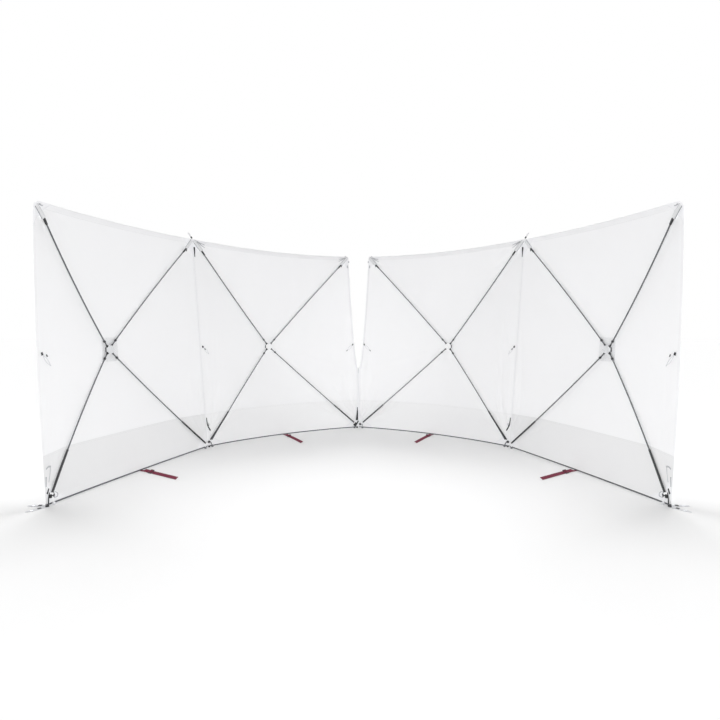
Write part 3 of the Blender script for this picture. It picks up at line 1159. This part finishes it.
# Half lengths and radii of the turned barrel, in millimetres
BARREL = np.array([(7, 1.8), (6.6, 2.8), (5, 3.4), (4.4, 2.9), (3.8, 3.4), (1, 2.7)])
BARREL = np.concatenate([BARREL * [-1, 1], BARREL[::-1]]) * 0.001
for bay in BAYS:
    toggles = Cut(bay.hand)
    for side in ("near", "far") if bay.inner else ("far",):
        kind = "free" if not bay.inner else "zip" if side == "near" else "seam"
        tab, barrel_in, barrel_down, loop_in, loop_down = TOGGLES[kind]
        marks = [(TOGGLE_Z + 0.008, tab - 0.004), (TOGGLE_Z, tab), (TOGGLE_Z - 0.006, tab + 0.003)]
        strip(toggles, bay, side, marks, (0.010, 0.013), 0.0028, lift=0.0055)
        for slack in (-0.006, 0.006):
            middle = (TOGGLE_Z - 0.5 * loop_down - slack, tab + 0.5 * loop_in - slack)
            marks = [(TOGGLE_Z - 0.004, tab + 0.004), middle, (TOGGLE_Z - loop_down, tab + loop_in)]
            strip(toggles, bay, side, marks, (0.0026, 0.0026), 0.0026, paint=1, lift=0.006)
        low, inset = TOGGLE_Z - barrel_down, tab + barrel_in
        barrel = bay.beside(side, low, inset, 0.010)
        onward = bay.beside(side, low - 0.01, inset + 0.007, 0.010) - barrel
        toggles.turned(barrel, onward, BARREL, 20, paint=2)
    toggles.make(f"{bay.body}_toggle_set", [tab_webbing, cord_cloth, black_plastic], bay.body,
                 f"{bay.body}_toggles", slot="toggles")

# ---- Patches behind the outer hubs --------------------------------------------------------
# A square of grey dotted mesh is sewn to the inner side of the cloth behind the hub of each outer
# bay. It spreads the pull of the four poles.


def dotted(name, ground, other, dots, pitch, share):
    """Mesh cloth with rows of round dots, set at a slant."""
    made, recipe = finish(name)
    _, along, across = recipe.flat_places()
    x, y = ((way / pitch).calc("FRACT") - 0.5 for way in (along + across, along - across))
    spot = (x * x + y * y) < share * share
    grain = recipe.noise(recipe.node("ShaderNodeTexCoord", out=3), 500.0)
    bump = recipe.bump(0.5, 0.0004, grain * 0.4 - spot)
    base = recipe.blend(spot, recipe.blend(grain, ground, other), dots)
    recipe.coat({"Base Color": base, "Roughness": 0.85, "Normal": bump, "Specular IOR Level": 0.25})
    return made


mesh_cloth = dotted("dotted_mesh", tint(252, 252, 253), tint(240, 240, 241), tint(200, 202, 205),
                    0.012, 0.24)
for bay, side in ((BAYS[0], "left"), (BAYS[3], "right")):
    u = (np.arange(4)[:, None] + close_at(32)[None, :-1]).ravel()
    points = bay.skin(u[None, :], np.linspace(0.030, 0.1, 12)[:, None], lift=0.0021)
    patch = Cut(bay.hand).grid(points, np.stack(bay.flat(points), -1), ring=True).make(
        f"{side}_dotted_patch", [mesh_cloth], bay.body, f"{side}_hub_patch", slot="hub_patch"
    )

# ---- Peg tails ----------------------------------------------------------------------------
# Two tapered tails of white webbing are sewn under each free corner. Each has a pressed metal
# eyelet for a ground peg.

TAIL_L, TAIL_W, EYELET_AT, HOLE_R, TAIL_Z = 0.1, 0.024, 0.072, 0.0052, (0.0001, 0.0019)
# Each tail's direction in degrees, and how far back its root is
TAILS = ((180, -0.015), (233, 0.0))
# Profiles of the eyelet and of the corner's foot
EYELET = [(0.0001, 0.0046), (0.0001, 0.0053), (0.0019, 0.0053), (0.0019, 0.0078), (0.0024, 0.0080),
          (0.0029, 0.0068), (0.0029, 0.0054), (0.0026, 0.0046), (0.0001, 0.0046)]
CORNER_FOOT = [(0.0022, 0.007), (0.0022, 0.0095), (0.009, 0.009), (0.011, 0.0075), (0.011, 0.0003)]
tail_webbing = webbing("tail_webbing", tint(196, 197, 200), tint(214, 215, 218), edge=0.0095)


def metal(name, colour, rough):
    """Bright pressed metal, unevenly worn."""
    made, recipe = finish(name)
    wear = recipe.noise(recipe.node("ShaderNodeTexCoord", out=3), 320.0, 6.0)
    recipe.coat({"Base Color": colour, "Metallic": 1.0, "Roughness": wear * 0.25 + (rough - 0.1)})
    return made


def tail_rim(root):
    """Outline of a tail, met from the eyelet's middle at even angles."""
    beyond, rim = TAIL_L - EYELET_AT, []
    for x, y in circle(40):
        far = beyond / x if x > 1e-6 else (root - EYELET_AT) / x if x < -1e-6 else 9
        across = TAIL_W / 2 / abs(y) if abs(y) > 1e-6 else 9
        slant = (TAIL_W / 2) / (abs(y) + TAIL_W / 4 / beyond * x) if x > 0 else 9
        reach = min(far, across, slant)
        rim.append([EYELET_AT + reach * x, reach * y])
    return np.array(rim)


eyelet_steel = metal("eyelet_steel", tint(206, 208, 211), 0.32)
corner = BAYS[0].far_foot * [1, 1, 0]
for bay, side in ((BAYS[0], "left"), (BAYS[3], "right")):
    tails = Cut(bay.hand)
    for count, (angle, root) in enumerate(TAILS):
        angle = math.radians(angle)
        way = np.array([math.cos(angle), math.sin(angle), 0.0])
        beside = np.array([-way[1], way[0], 0.0])
        start = corner + (count - 0.5) * (TAIL_W + 0.0003) * beside
        hole, rim = [EYELET_AT, 0] + HOLE_R * circle(40), tail_rim(root)
        outlines = np.stack([hole, hole + 0.45 * (rim - hole), rim])
        flat = start + outlines[..., :1] * way + outlines[..., 1:] * beside
        low, high = (flat + z * UP for z in TAIL_Z)
        for points, order in ((high, 1), (low, -1)):
            tails.grid(points[:, ::order], outlines[:, ::order], ring=True)
        for number, order in ((0, 1), (-1, -1)):
            wall = np.stack([low[number], high[number]])[:, ::order]
            edge = outlines[number][::order]
            tails.grid(wall, np.broadcast_to(edge, (2, 40, 2)), ring=True)
        spin = circle(32) @ [way, beside]
        profile = np.array(EYELET)
        points = start + EYELET_AT * way + profile[:, :1, None] * UP + profile[:, 1:, None] * spin[None]
        tails.grid(points, np.zeros((len(profile), 32, 2)), paint=1, ring=True)
        # A black adjuster near the tail's root
        adjuster = start + 0.034 * way + 0.0040 * UP
        tails.block(adjuster, way, UP, (0.016, 0.014, 0.0036), bevel=0.001, paint=2)
    tails.turned(corner + [0.012, -0.004, 0.0], UP, CORNER_FOOT, paint=2)
    tails.make(f"{side}_tails", [tail_webbing, eyelet_steel, black_plastic], bay.body,
               f"{side}_peg_tails", slot="tails")
